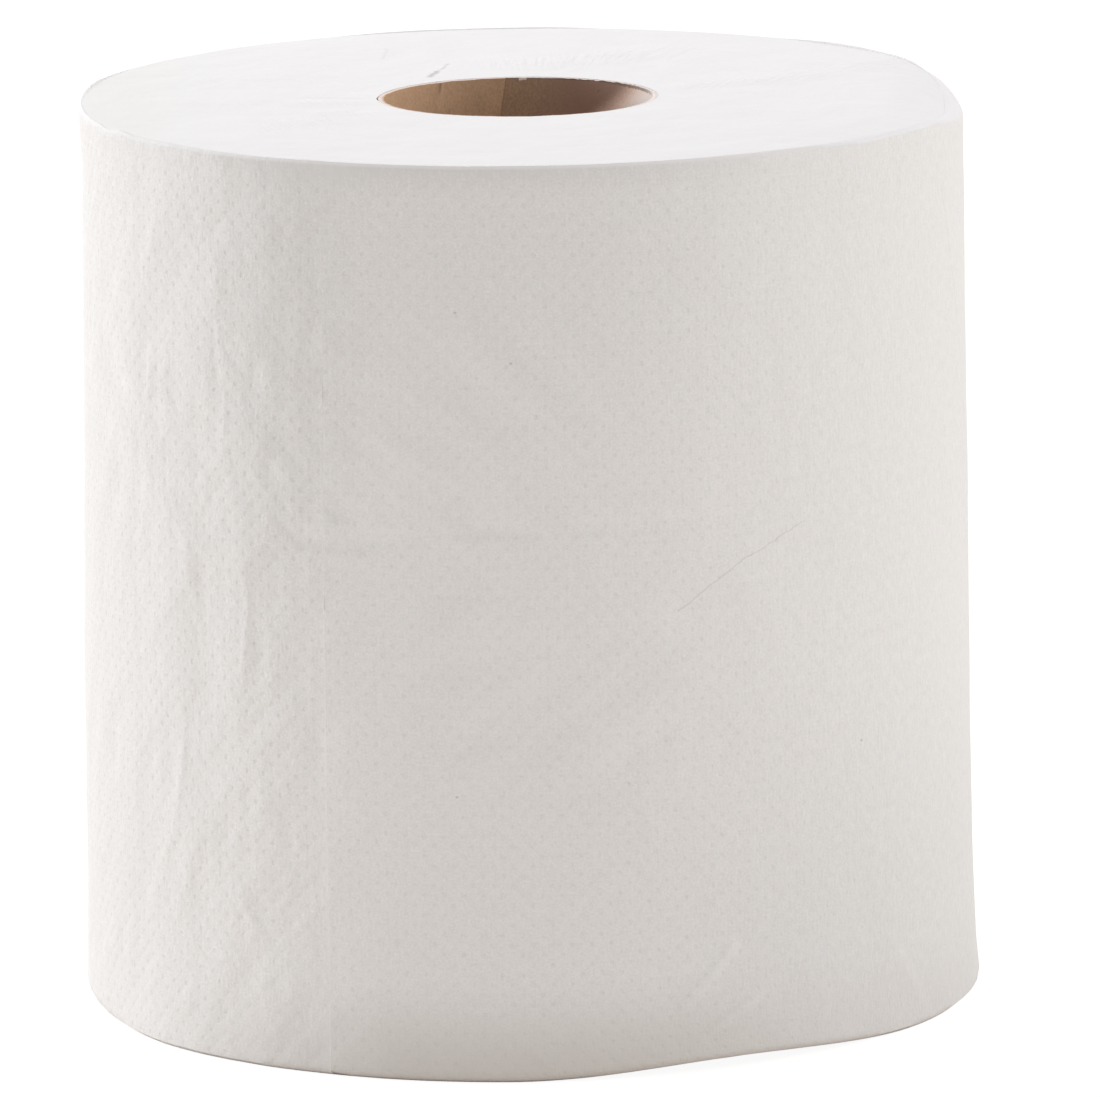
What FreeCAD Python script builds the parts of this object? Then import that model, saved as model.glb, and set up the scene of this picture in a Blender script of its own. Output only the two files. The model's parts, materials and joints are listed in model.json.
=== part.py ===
"""A paper wiper roll: one long embossed web of paper, wound on a cardboard core.

Millimetres, +Z up along the core. The origin is on the core's axis, in the plane of the base.
The web is wound anticlockwise as seen from above, so its free outer end, the tail, is a step
that faces anticlockwise. All the turns are one solid; the core is the other.
"""
import FreeCAD, Part
import math
import os

import Sketcher

from FreeCAD import Placement, Rotation, Vector

# alias, value, what it is; millimetres, and degrees for the azimuths, measured from +X towards +Y
SIZES = (
    ("roll_height", 195.6, "width of the web, so the height of the standing roll"),
    ("base_diameter", 194.4, "across the outer turn at the base, where the roll is a little loose"),
    ("top_diameter", 189.8, "across the outer turn at the top"),
    ("base_bevel", 1.8, "bevel where the loose outer turns curl in at the base"),
    ("top_bevel", 0.6, "bevel around the crisp upper rim"),
    ("tail_step", 0.35, "thickness of the two-ply web, seen as a step at the tail"),
    ("tail_azimuth", -116.2, "where the tail lies"),
    ("core_outside_diameter", 60.0, "across the outside of the core"),
    ("core_wall", 1.0, "thickness of the core's cardboard"),
    ("core_clearance", 0.05, "between the core and the first turn"),
    ("start_azimuth", 180.0, "where the folded start of the web stands off the core"),
    ("start_gap_depth", 1.5, "how far it stands off"),
    ("start_gap_width", 13.0, "how far around the core the gap reaches"),
    ("valley_turns", 7, "turns of the spiral valley pressed between the wound layers at each end"),
    ("valley_margin", 3.5, "from the bore to the valley's start, and from its end to the rim"),
    ("valley_width", 0.7, "width of the valley at the end face"),
    ("valley_depth", 0.25, "depth of the valley"),
)
VALUE = {alias: value for alias, value, _ in SIZES}

BORE_RADIUS = "(sizes.core_outside_diameter / 2 + sizes.core_clearance)"
VALLEY_START = f"({BORE_RADIUS} + sizes.valley_margin)"
VALLEY_PITCH = (
    f"((sizes.top_diameter / 2 - sizes.top_bevel - sizes.valley_margin - {VALLEY_START})"
    " / sizes.valley_turns)"
)


def add_sizes(doc):
    """The sheet of driving dimensions: a note, the value and its alias on each row."""
    sheet = doc.addObject("Spreadsheet::Sheet", "sizes")
    for row, (alias, value, note) in enumerate(SIZES, 1):
        sheet.set(f"A{row}", note)
        sheet.set(f"B{row}", str(value))
        sheet.setAlias(f"B{row}", alias)
    doc.recompute()


def add_body(doc, name):
    """A body whose label is the name of the sub-part."""
    body = doc.addObject("PartDesign::Body", name)
    body.Label = name
    return body


def add_sketch(body, name, plane):
    """A sketch on one of the body's own origin planes."""
    sketch = body.newObject("Sketcher::SketchObject", name)
    support = next(f for f in body.Origin.OriginFeatures if f.Role == plane)
    sketch.AttachmentSupport = [(support, "")]
    sketch.MapMode = "FlatFace"
    return sketch


def bind(sketch, kind, where, expression, name):
    """A dimension of the sketch that follows the sheet. It starts at its value, to solve at once."""
    value = sketch.evalExpression(expression)
    index = sketch.addConstraint(Sketcher.Constraint(kind, *where, float(value)))
    sketch.renameConstraint(index, name)
    sketch.setExpression(f"Constraints.{name}", expression)


def polygon(sketch, points):
    """Closed chain of lines through the points. Returns the index of each line."""
    first = sketch.GeometryCount
    count = len(points)
    for start, end in zip(points, points[1:] + points[:1]):
        sketch.addGeometry(Part.LineSegment(Vector(*start), Vector(*end)), False)
    lines = [first + k for k in range(count)]
    for k in range(count):
        following = lines[(k + 1) % count]
        sketch.addConstraint(Sketcher.Constraint("Coincident", lines[k], 2, following, 1))
    return lines


def vertical_axis(sketch, shift, name):
    """Construction line that a half-turn is swept about, shifted to -X of the core's axis."""
    value = float(sketch.evalExpression(shift))
    line = sketch.addGeometry(
        Part.LineSegment(Vector(-value, 0, 0), Vector(-value, VALUE["roll_height"], 0)), True
    )
    sketch.addConstraint(Sketcher.Constraint("Vertical", line))
    sketch.addConstraint(Sketcher.Constraint("PointOnObject", line, 1, -1))
    bind(sketch, "DistanceX", (line, 1, -1, 1), shift, name)
    bind(sketch, "DistanceY", (line, 1, line, 2), "sizes.roll_height", f"{name}_length")


def add_half_turns(body, kind, name, sketch):
    """Sweep one section through two half-turns that join into a spiral.

    The half on -Y is swept about the core's axis, and the half on +Y about the sketch's own
    construction line. Both begin at the section, so they meet there without a step, and at the
    far side they differ by twice the shift between the two axes.
    """
    halves = []
    for side, axis, reverse in (("front", "V_Axis", True), ("back", "Axis0", False)):
        half = body.newObject(f"PartDesign::{kind}", f"{name}_{side}")
        half.Profile = sketch
        half.ReferenceAxis = (sketch, [axis])
        half.Angle = 180
        half.Reversed = reverse
        halves.append(half)
    return halves


def add_web_section(body):
    """Section through the turns, from a line inside the bore to the leaning outer turn."""
    height, inside = VALUE["roll_height"], VALUE["core_outside_diameter"] / 4
    base, top = VALUE["base_diameter"] / 2, VALUE["top_diameter"] / 2
    foot, brow = VALUE["base_bevel"], VALUE["top_bevel"]
    lean = (base - top) / height

    sketch = add_sketch(body, "web_section", "XZ_Plane")
    outline = [
        (inside, 0),
        (base - foot, 0),
        (base - foot * lean, foot),
        (top + brow * lean, height - brow),
        (top - brow, height),
        (inside, height),
    ]
    bottom, _, side, _, lid, bore = polygon(sketch, outline)
    sharp_base, sharp_top = [
        sketch.addGeometry(Part.Point(Vector(*at)), True) for at in ((base, 0), (top, height))
    ]
    for kind, *where in (
        ("PointOnObject", bottom, 1, -1),
        ("Horizontal", bottom),
        ("Horizontal", lid),
        ("Vertical", bore),
        ("PointOnObject", sharp_base, 1, -1),
        ("PointOnObject", sharp_base, 1, side),
        ("PointOnObject", sharp_top, 1, lid),
        ("PointOnObject", sharp_top, 1, side),
    ):
        sketch.addConstraint(Sketcher.Constraint(kind, *where))
    bind(sketch, "DistanceX", (-1, 1, bore, 1), "sizes.core_outside_diameter / 4", "inside")
    bind(sketch, "DistanceY", (bore, 2, bore, 1), "sizes.roll_height", "height")
    bind(sketch, "DistanceX", (-1, 1, sharp_base, 1), "sizes.base_diameter / 2", "base_radius")
    bind(sketch, "DistanceX", (-1, 1, sharp_top, 1), "sizes.top_diameter / 2", "top_radius")
    bind(sketch, "DistanceX", (bottom, 2, sharp_base, 1), "sizes.base_bevel", "foot_in")
    bind(sketch, "DistanceY", (bottom, 2, side, 1), "sizes.base_bevel", "foot_up")
    bind(sketch, "DistanceX", (lid, 1, sharp_top, 1), "sizes.top_bevel", "brow_in")
    bind(sketch, "DistanceY", (side, 2, lid, 1), "sizes.top_bevel", "brow_down")
    vertical_axis(sketch, "sizes.tail_step / 2", "tail_shift")
    return sketch


def add_valley_section(body):
    """One V-shaped notch in the top end for each turn of the spiral valley."""
    sketch = add_sketch(body, "valley_section", "XZ_Plane")
    height, width, depth = VALUE["roll_height"], VALUE["valley_width"], VALUE["valley_depth"]
    pitch = float(sketch.evalExpression(VALLEY_PITCH))
    start = float(sketch.evalExpression(VALLEY_START))
    previous = None
    for turn in range(VALUE["valley_turns"]):
        centre = start + turn * pitch
        mouth, inner, outer = polygon(
            sketch, [(centre + width / 2, height), (centre - width / 2, height), (centre, height - depth)]
        )
        sketch.addConstraint(Sketcher.Constraint("Horizontal", mouth))
        sketch.addConstraint(Sketcher.Constraint("Equal", inner, outer))
        if previous is None:
            bind(sketch, "DistanceY", (-1, 1, mouth, 1), "sizes.roll_height", "height")
            bind(sketch, "DistanceX", (-1, 1, outer, 1), VALLEY_START, "start")
            bind(sketch, "DistanceX", (mouth, 2, mouth, 1), "sizes.valley_width", "width")
            bind(sketch, "DistanceY", (outer, 1, mouth, 1), "sizes.valley_depth", "depth")
        else:
            last_mouth, last_outer = previous
            sketch.addConstraint(Sketcher.Constraint("Equal", last_mouth, mouth))
            sketch.addConstraint(Sketcher.Constraint("Equal", last_outer, outer))
            sketch.addConstraint(Sketcher.Constraint("Horizontal", last_mouth, 1, mouth, 1))
            bind(sketch, "DistanceX", (last_outer, 1, outer, 1), VALLEY_PITCH, f"pitch_{turn}")
        previous = mouth, outer
    vertical_axis(sketch, f"{VALLEY_PITCH} / 2", "pitch_shift")
    return sketch


def add_bore_sketch(body):
    """The round that the core fills."""
    sketch = add_sketch(body, "bore", "XY_Plane")
    radius = float(sketch.evalExpression(BORE_RADIUS))
    circle = sketch.addGeometry(Part.Circle(Vector(), Vector(0, 0, 1), radius), False)
    sketch.addConstraint(Sketcher.Constraint("Coincident", circle, 3, -1, 1))
    bind(sketch, "Radius", (circle,), BORE_RADIUS, "radius")
    return sketch


def add_start_gap_sketch(body):
    """The pointed gap beside the core: a triangle on a chord of the bore, its point outwards."""
    sketch = add_sketch(body, "start_gap", "XY_Plane")
    sketch.AttachmentOffset = Placement(Vector(), Rotation(Vector(0, 0, 1), 1))
    sketch.setExpression(
        "AttachmentOffset.Rotation.Angle", "sizes.start_azimuth - sizes.tail_azimuth + 180"
    )
    radius = float(sketch.evalExpression(BORE_RADIUS))
    half = VALUE["start_gap_width"] / 2
    chord = math.sqrt(radius**2 - half**2)
    tip = radius + VALUE["start_gap_depth"]
    base, upper, lower = polygon(sketch, [(chord, -half), (chord, half), (tip, 0)])
    circle = sketch.addGeometry(Part.Circle(Vector(), Vector(0, 0, 1), radius), True)
    for kind, *where in (
        ("Coincident", circle, 3, -1, 1),
        ("PointOnObject", base, 1, circle),
        ("PointOnObject", base, 2, circle),
        ("PointOnObject", upper, 2, -1),
        ("Vertical", base),
    ):
        sketch.addConstraint(Sketcher.Constraint(kind, *where))
    bind(sketch, "Radius", (circle,), BORE_RADIUS, "radius")
    bind(sketch, "DistanceY", (base, 1, base, 2), "sizes.start_gap_width", "width")
    bind(
        sketch, "DistanceX", (-1, 1, upper, 2), f"{BORE_RADIUS} + sizes.start_gap_depth", "reach"
    )
    return sketch


def cut_through(body, name, sketch):
    """Pocket upwards from the base, through the whole roll."""
    pocket = body.newObject("PartDesign::Pocket", name)
    pocket.Profile = sketch
    pocket.Type = "ThroughAll"
    pocket.Reversed = True
    return pocket


def add_wound_paper(doc):
    """All the turns of the web, with the tail, the bore and the relief of the two ends."""
    body = add_body(doc, "wound_paper")
    add_half_turns(body, "Revolution", "turns", add_web_section(body))
    cut_through(body, "bore_cut", add_bore_sketch(body))
    cut_through(body, "start_gap_cut", add_start_gap_sketch(body))
    valleys = add_half_turns(body, "Groove", "valley", add_valley_section(body))

    middle = body.newObject("PartDesign::Plane", "mid_height")
    support = next(f for f in body.Origin.OriginFeatures if f.Role == "XY_Plane")
    middle.AttachmentSupport = [(support, "")]
    middle.MapMode = "FlatFace"
    middle.setExpression("AttachmentOffset.Base.z", "sizes.roll_height / 2")
    base_valleys = body.newObject("PartDesign::Mirrored", "base_valleys")
    base_valleys.Originals = valleys
    base_valleys.MirrorPlane = (middle, [""])
    body.Tip = base_valleys

    # the section lies opposite the tail, so the body is turned to bring the tail to its azimuth
    body.Placement = Placement(Vector(), Rotation(Vector(0, 0, 1), 1))
    body.setExpression("Placement.Rotation.Angle", "sizes.tail_azimuth - 180")
    return body


def add_core_tube(doc):
    """The cardboard core, cut with the web to the same height."""
    body = add_body(doc, "core_tube")
    sketch = add_sketch(body, "ring", "XY_Plane")
    outside = "sizes.core_outside_diameter / 2"
    for name, radius in (("outside", outside), ("inside", f"{outside} - sizes.core_wall")):
        value = float(sketch.evalExpression(radius))
        circle = sketch.addGeometry(Part.Circle(Vector(), Vector(0, 0, 1), value), False)
        sketch.addConstraint(Sketcher.Constraint("Coincident", circle, 3, -1, 1))
        bind(sketch, "Radius", (circle,), radius, name)
    tube = body.newObject("PartDesign::Pad", "tube")
    tube.Profile = sketch
    tube.setExpression("Length", "sizes.roll_height")
    return body


def check(doc, bodies):
    """Stop if a feature failed or changed nothing, if a sketch is loose, or if a sub-part is
    not one valid solid."""
    for thing in doc.Objects:
        if {"Invalid", "Error"} & set(thing.State):
            raise RuntimeError(f"{thing.Name} failed: {thing.State}")
        if thing.isDerivedFrom("Sketcher::SketchObject") and not thing.FullyConstrained:
            raise RuntimeError(f"{thing.Name} is not fully constrained")
    for body in bodies:
        solids = [f for f in body.Group if f.isDerivedFrom("PartDesign::Feature") and f.Shape.Solids]
        for before, after in zip(solids, solids[1:]):
            if abs(after.Shape.Volume - before.Shape.Volume) < 1.0:
                raise RuntimeError(f"{after.Name} changed nothing")
        shape = body.Shape
        if shape.isNull() or not shape.isValid() or len(shape.Solids) != 1:
            raise RuntimeError(f"{body.Label} is not one valid solid")


def main():
    doc = FreeCAD.newDocument("paper_wiper_roll")
    add_sizes(doc)
    bodies = [add_wound_paper(doc), add_core_tube(doc)]
    doc.recompute()
    check(doc, bodies)
    os.makedirs("parts", exist_ok=True)
    for body in bodies:
        body.Shape.exportStep(os.path.join("parts", f"{body.Label}.step"))
        box = body.Shape.BoundBox
        print(f"{body.Label}: {body.Shape.Volume:.0f} mm3, {box}")


main()
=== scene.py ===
"""A roll of white embossed wiping paper on a cardboard core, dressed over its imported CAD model."""

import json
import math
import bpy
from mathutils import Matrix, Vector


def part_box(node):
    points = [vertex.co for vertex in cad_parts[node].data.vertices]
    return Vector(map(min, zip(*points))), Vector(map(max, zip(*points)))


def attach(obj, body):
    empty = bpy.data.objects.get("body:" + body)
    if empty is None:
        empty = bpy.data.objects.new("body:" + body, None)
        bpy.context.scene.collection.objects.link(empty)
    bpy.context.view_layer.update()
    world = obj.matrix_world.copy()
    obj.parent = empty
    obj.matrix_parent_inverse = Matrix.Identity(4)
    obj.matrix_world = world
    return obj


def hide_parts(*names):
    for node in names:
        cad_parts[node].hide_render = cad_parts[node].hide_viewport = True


bl_info = {
    "name": "Wiper Roll",
    "version": (1, 0, 0),
    "blender": (4, 5, 0),
    "location": "View3D > Sidebar > Roll",
    "description": "Builds a roll of embossed wiping paper on its cardboard core, and the studio round it",
    "category": "Add Mesh",
}

from collections import namedtuple

import bpy
import numpy as np
from mathutils import Matrix

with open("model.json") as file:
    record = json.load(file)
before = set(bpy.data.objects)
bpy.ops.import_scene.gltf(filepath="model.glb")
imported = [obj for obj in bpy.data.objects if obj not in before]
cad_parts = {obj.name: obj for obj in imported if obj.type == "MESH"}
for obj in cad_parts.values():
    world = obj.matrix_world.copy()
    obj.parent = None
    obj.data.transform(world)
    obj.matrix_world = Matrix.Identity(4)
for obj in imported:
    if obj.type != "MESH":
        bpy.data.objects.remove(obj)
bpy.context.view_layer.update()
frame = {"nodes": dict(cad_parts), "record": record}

MM = 0.001
TURN = 2 * math.pi


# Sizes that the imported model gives


def node_points(name):
    """Corners of a CAD node, as rows of x, y and z."""
    mesh = frame["nodes"][name].data
    points = np.empty(len(mesh.vertices) * 3, np.float32)
    mesh.vertices.foreach_get("co", points)
    return points.reshape(-1, 3)


def widest(points, low, high):
    """Largest distance from the axis between two heights."""
    radius = np.hypot(points[:, 0], points[:, 1])
    inside = (points[:, 2] >= low) & (points[:, 2] <= high)
    return float(radius[inside].max())


TAIL_STEP = 0.35 * MM
TAIL_AZIMUTH = math.radians(-116.2)
ROLL_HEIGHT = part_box("wound_paper")[1].z
PAPER_POINTS = node_points("wound_paper")
BASE_RADIUS = widest(PAPER_POINTS, 0, ROLL_HEIGHT / 2) - TAIL_STEP
TOP_RADIUS = widest(PAPER_POINTS, ROLL_HEIGHT / 2, ROLL_HEIGHT) - TAIL_STEP
CORE_RADIUS = widest(node_points("core_tube"), 0, ROLL_HEIGHT)
BORE_RADIUS = frame["record"]["mounts"][0]["dims"]["r_mm"] * MM
# How far the cut edges underneath stay clear of the floor, in millimetres
FOOT_CLEARANCE = 0.04


# Settings


def a_length(name, description, default):
    """A setting that is a length."""
    return bpy.props.FloatProperty(name=name, description=description, default=default, unit="LENGTH")


def an_angle(name, description, default):
    """A setting that is a direction round the axis."""
    return bpy.props.FloatProperty(
        name=name, description=description, default=default, subtype="ANGLE", unit="ROTATION"
    )


def a_colour(name, description, default):
    """A setting that is a colour."""
    return bpy.props.FloatVectorProperty(
        name=name, description=description, default=default, subtype="COLOR", size=3
    )


def a_power(name, description, default):
    """A setting that is the power of a lamp."""
    return bpy.props.FloatProperty(name=name, description=description, default=default, unit="POWER")


class WebSettings(bpy.types.PropertyGroup):
    """The wound web of paper."""

    base_radius: a_length("Base Radius", "Outside radius of the roll at its foot", BASE_RADIUS)
    top_radius: a_length("Top Radius", "Outside radius of the roll at its upper end", TOP_RADIUS)
    height: a_length("Height", "Width of the web, which is the height of the roll", ROLL_HEIGHT)
    thickness: a_length("Thickness", "Thickness of the two plies together", 0.33 * MM)
    tail_azimuth: an_angle("Tail Azimuth", "Where the outer turn ends, anticlockwise from +X", TAIL_AZIMUTH)
    lap: a_length("Lap", "How far the outer turn runs on under its own tail", 5 * MM)
    paper_colour: a_colour("Paper", "Colour of the embossed face", (0.905, 0.896, 0.885))
    edge_colour: a_colour("Cut Edges", "Colour of the packed edges of the turns", (0.876, 0.853, 0.850))
    row_pitch: a_length("Row Pitch", "Height from one row of embossed dots to the next", 2.13 * MM)
    dot_pitch: a_length("Dot Pitch", "Distance along a row from one embossed dot to the next", 4.14 * MM)
    dot_depth: a_length("Dot Depth", "Depth of an embossed dot", 0.11 * MM)


class CoreSettings(bpy.types.PropertyGroup):
    """The cardboard core."""

    outside_radius: a_length("Outside Radius", "Radius of the core's outside", CORE_RADIUS)
    bore_radius: a_length("Bore Radius", "Radius of the core's open bore", BORE_RADIUS)
    rim_height: a_length("Rim Height", "Height of the core's upper rim", ROLL_HEIGHT - 0.1 * MM)
    ply_step: a_length("Ply Step", "Height of the inner ply's edge at its seam", 0.25 * MM)
    seam_azimuth: an_angle(
        "Seam Azimuth",
        "Where the inner ply's seam meets the upper rim, anticlockwise from +X",
        math.radians(95.3),
    )
    board_colour: a_colour("Board", "Colour of the grey-brown board", (0.388, 0.251, 0.160))
    rim_colour: a_colour("Cut Rim", "Colour of the core's cut rims", (0.82, 0.72, 0.68))


class StudioSettings(bpy.types.PropertyGroup):
    """The floor and the lights."""

    floor_colour: a_colour("Floor", "Colour of the floor", (0.84, 0.765, 0.70))
    sky_colour: a_colour("Ambient", "Colour of the even light from all round", (0.67, 0.67, 0.675))
    left_power: a_power("Left Lamp", "Power of the lamp on the left", 9.43)
    right_power: a_power("Right Lamp", "Power of the lamp on the right", 6.15)
    top_power: a_power("Top Lamp", "Power of the lamp overhead", 6.2)


# Node trees


class Wire:
    """One output of a node, used in sums as a number would be."""

    def __init__(self, recipe, socket):
        self.recipe = recipe
        self.socket = socket

    def __add__(self, other):
        return self.recipe.maths("ADD", self, other)

    def __sub__(self, other):
        return self.recipe.maths("SUBTRACT", self, other)

    def __rsub__(self, other):
        return self.recipe.maths("SUBTRACT", other, self)

    def __mul__(self, other):
        return self.recipe.maths("MULTIPLY", self, other)

    def __truediv__(self, other):
        return self.recipe.maths("DIVIDE", self, other)

    def __rtruediv__(self, other):
        return self.recipe.maths("DIVIDE", other, self)

    __radd__ = __add__
    __rmul__ = __mul__

    def step(self, low, high):
        """0 below low and 1 above high, with a smooth rise between them."""
        settings = {"interpolation_type": "SMOOTHSTEP"}
        inputs = {"Value": self, "From Min": low, "From Max": high}
        return self.recipe.node("ShaderNodeMapRange", settings, inputs)

    def past(self, low, high):
        """0 before low and 1 past high, both in millimetres, with a smooth rise between them."""
        return self.step(low * MM, high * MM)

    def before(self, low, high):
        """1 before low and 0 past high, both in millimetres, with a smooth fall between them."""
        return 1.0 - self.past(low, high)

    def band(self, low, full, fade, high):
        """1 from full to fade, falling smoothly to 0 at low and at high, all in millimetres."""
        return self.past(low, full) * self.before(fade, high)


class Recipe:
    """A node tree that is being written."""

    def __init__(self, tree):
        self.tree = tree

    def node(self, kind, settings=None, inputs=None, output=0):
        """Adds a node, sets it, fills its sockets and gives one of its outputs."""
        made = self.tree.nodes.new(kind)
        for name, value in (settings or {}).items():
            setattr(made, name, value)
        for name, value in (inputs or {}).items():
            if isinstance(value, Wire):
                self.tree.links.new(value.socket, made.inputs[name])
            else:
                made.inputs[name].default_value = value
        return Wire(self, made.outputs[output]) if made.outputs else None

    def maths(self, operation, *values):
        """A Math node on the given values."""
        return self.node("ShaderNodeMath", {"operation": operation}, dict(enumerate(values)))

    def sine(self, value):
        return self.maths("SINE", value)

    def cosine(self, value):
        return self.maths("COSINE", value)

    def larger(self, first, second):
        return self.maths("MAXIMUM", first, second)

    def limited(self, value):
        """The value, held between 0 and 1."""
        return self.node("ShaderNodeMath", {"operation": "ADD", "use_clamp": True}, {0: value, 1: 0.0})

    def vector(self, x, y, z=0.0):
        return self.node("ShaderNodeCombineXYZ", None, {"X": x, "Y": y, "Z": z})

    def placed(self, geometry, place):
        """The geometry, with its points moved to the given place."""
        return self.node("GeometryNodeSetPosition", None, {"Geometry": geometry, "Position": place})

    def stored(self, geometry, name, value, kind="FLOAT"):
        """The geometry, with a value stored on its points under the given name."""
        settings = {"data_type": kind, "domain": "POINT"}
        inputs = {"Geometry": geometry, "Name": name, "Value": value}
        return self.node("GeometryNodeStoreNamedAttribute", settings, inputs)

    def recalled(self, name):
        """The value stored under the given name."""
        return self.node("GeometryNodeInputNamedAttribute", {"data_type": "FLOAT"}, {"Name": name})

    def size(self, vector):
        """The length of a vector."""
        return self.node("ShaderNodeVectorMath", {"operation": "LENGTH"}, {0: vector}, "Value")

    def parts(self, vector):
        """The x, y and z of a vector."""
        split = self.node("ShaderNodeSeparateXYZ", None, {"Vector": vector})
        return [Wire(self, socket) for socket in split.socket.node.outputs]

    def noise(self, place, scale, detail=2.0, distortion=0.0):
        """Noise from 0 to 1."""
        inputs = {"Vector": place, "Scale": scale, "Detail": detail, "Distortion": distortion}
        return self.node("ShaderNodeTexNoise", None, inputs)

    def stroke(self, x, y, start, end, reach):
        """1 along the line from start to end, falling to 0 at the given reach from it."""
        run_x = end[0] - start[0]
        run_y = end[1] - start[1]
        share = self.limited(((x - start[0]) * run_x + (y - start[1]) * run_y) / (run_x**2 + run_y**2))
        off = self.vector(x - start[0] - share * run_x, y - start[1] - share * run_y)
        return 1.0 - self.size(off).step(0.0, reach)

    def web_place(self):
        """Distance along the web, height and depth share, as the winding stored them."""
        return self.node("ShaderNodeAttribute", {"attribute_name": "web"}, None, "Vector")

    def mix(self, share, first, second):
        """A colour between two colours."""
        return self.node("ShaderNodeMix", {"data_type": "RGBA"}, {0: share, 6: first, 7: second}, 2)


def colour(value, share=1.0):
    """A colour with full alpha, made darker or lighter by the given share."""
    return (*(part * share for part in value), 1.0)


def new_material(name):
    """An empty node material, and the recipe for its tree."""
    material = bpy.data.materials.new(name)
    material.use_nodes = True
    material.node_tree.nodes.clear()
    return material, Recipe(material.node_tree)


def finish_surface(recipe, base, relief, roughness, gloss=0.25):
    """Ends a material in a surface with the given colour, relief in millimetres, roughness and gloss."""
    bump = recipe.node("ShaderNodeBump", None, {"Height": relief, "Distance": MM})
    inputs = {"Base Color": base, "Roughness": roughness, "Normal": bump, "Specular IOR Level": gloss}
    surface = recipe.node("ShaderNodeBsdfPrincipled", None, inputs)
    recipe.node("ShaderNodeOutputMaterial", None, {"Surface": surface})


# Materials


def in_metres(points):
    """Points given in millimetres."""
    return [tuple(value * MM for value in point) for point in points]


# Marks on the outer turn, by millimetres along the web and millimetres up
HAIR = in_metres([(77, 100.0), (92, 109.5), (108, 116.0)])
SPECKS = in_metres([(29.9, 164.7), (41.6, 154.0), (124.0, 66.2), (29.0, 61.5)])
THIN_LINE = in_metres([(161, 180), (185, 114)])
# The last of these marks is painted shadow at the foot, just beyond the tail's edge
NICK_SHADOW = in_metres([(0.2, 0.5), (3.6, -0.2)])


def streak(start, end, reach, strength):
    """A soft mark along a line, by its ends and reach in millimetres. A negative strength makes it pale."""
    return *in_metres([start, end]), reach * MM, strength


# Painted shade and painted highlights for a level fold beside the tail, dark under its pale crest, and for
# slanting ones above it
LEVEL_FOLD_SHADING = (
    streak((594.9, 121.2), (604.6, 113.4), 2.0, 0.24),
    streak((604.6, 113.4), (613, 113.2), 2.0, 0.26),
    streak((-3, 113.2), (8.3, 113.0), 2.0, 0.22),
    streak((8.3, 113.0), (17.3, 113.9), 2.4, 0.12),
    streak((28.2, 116.8), (47.4, 117.0), 1.8, 0.17),
    streak((604, 117.4), (613, 116.8), 2.6, -0.22),
    streak((-3, 116.8), (17, 117.2), 2.6, -0.18),
    streak((34, 120.2), (44, 120.4), 2.4, -0.12),
    streak((54, 117.2), (82, 117.6), 1.8, 0.1),
    streak((54, 120.4), (84, 120.8), 2.0, -0.09),
    streak((596.5, 132), (610, 121), 1.8, -0.2),
    streak((0, 127.8), (7.1, 123.1), 1.8, -0.2),
    streak((604.2, 126), (610.6, 122.0), 1.8, 0.16),
    streak((0, 122.0), (5, 119.4), 1.8, 0.16),
    streak((590, 139), (601, 121), 2.4, 0.14),
)
# Painted shade and painted highlights for short slanting folds in the foot, with pale crests
FOOT_FOLD_SHADING = (
    streak((89.7, 26.5), (78, 14), 1.7, -0.17),
    streak((86.8, 26.5), (75.3, 14.5), 1.4, 0.14),
    streak((95.8, 15.5), (83.7, 8), 1.6, -0.2),
    streak((93, 16), (81, 8.5), 1.3, 0.16),
    streak((136, 17.5), (145.5, 5.5), 2.8, -0.12),
)


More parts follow.
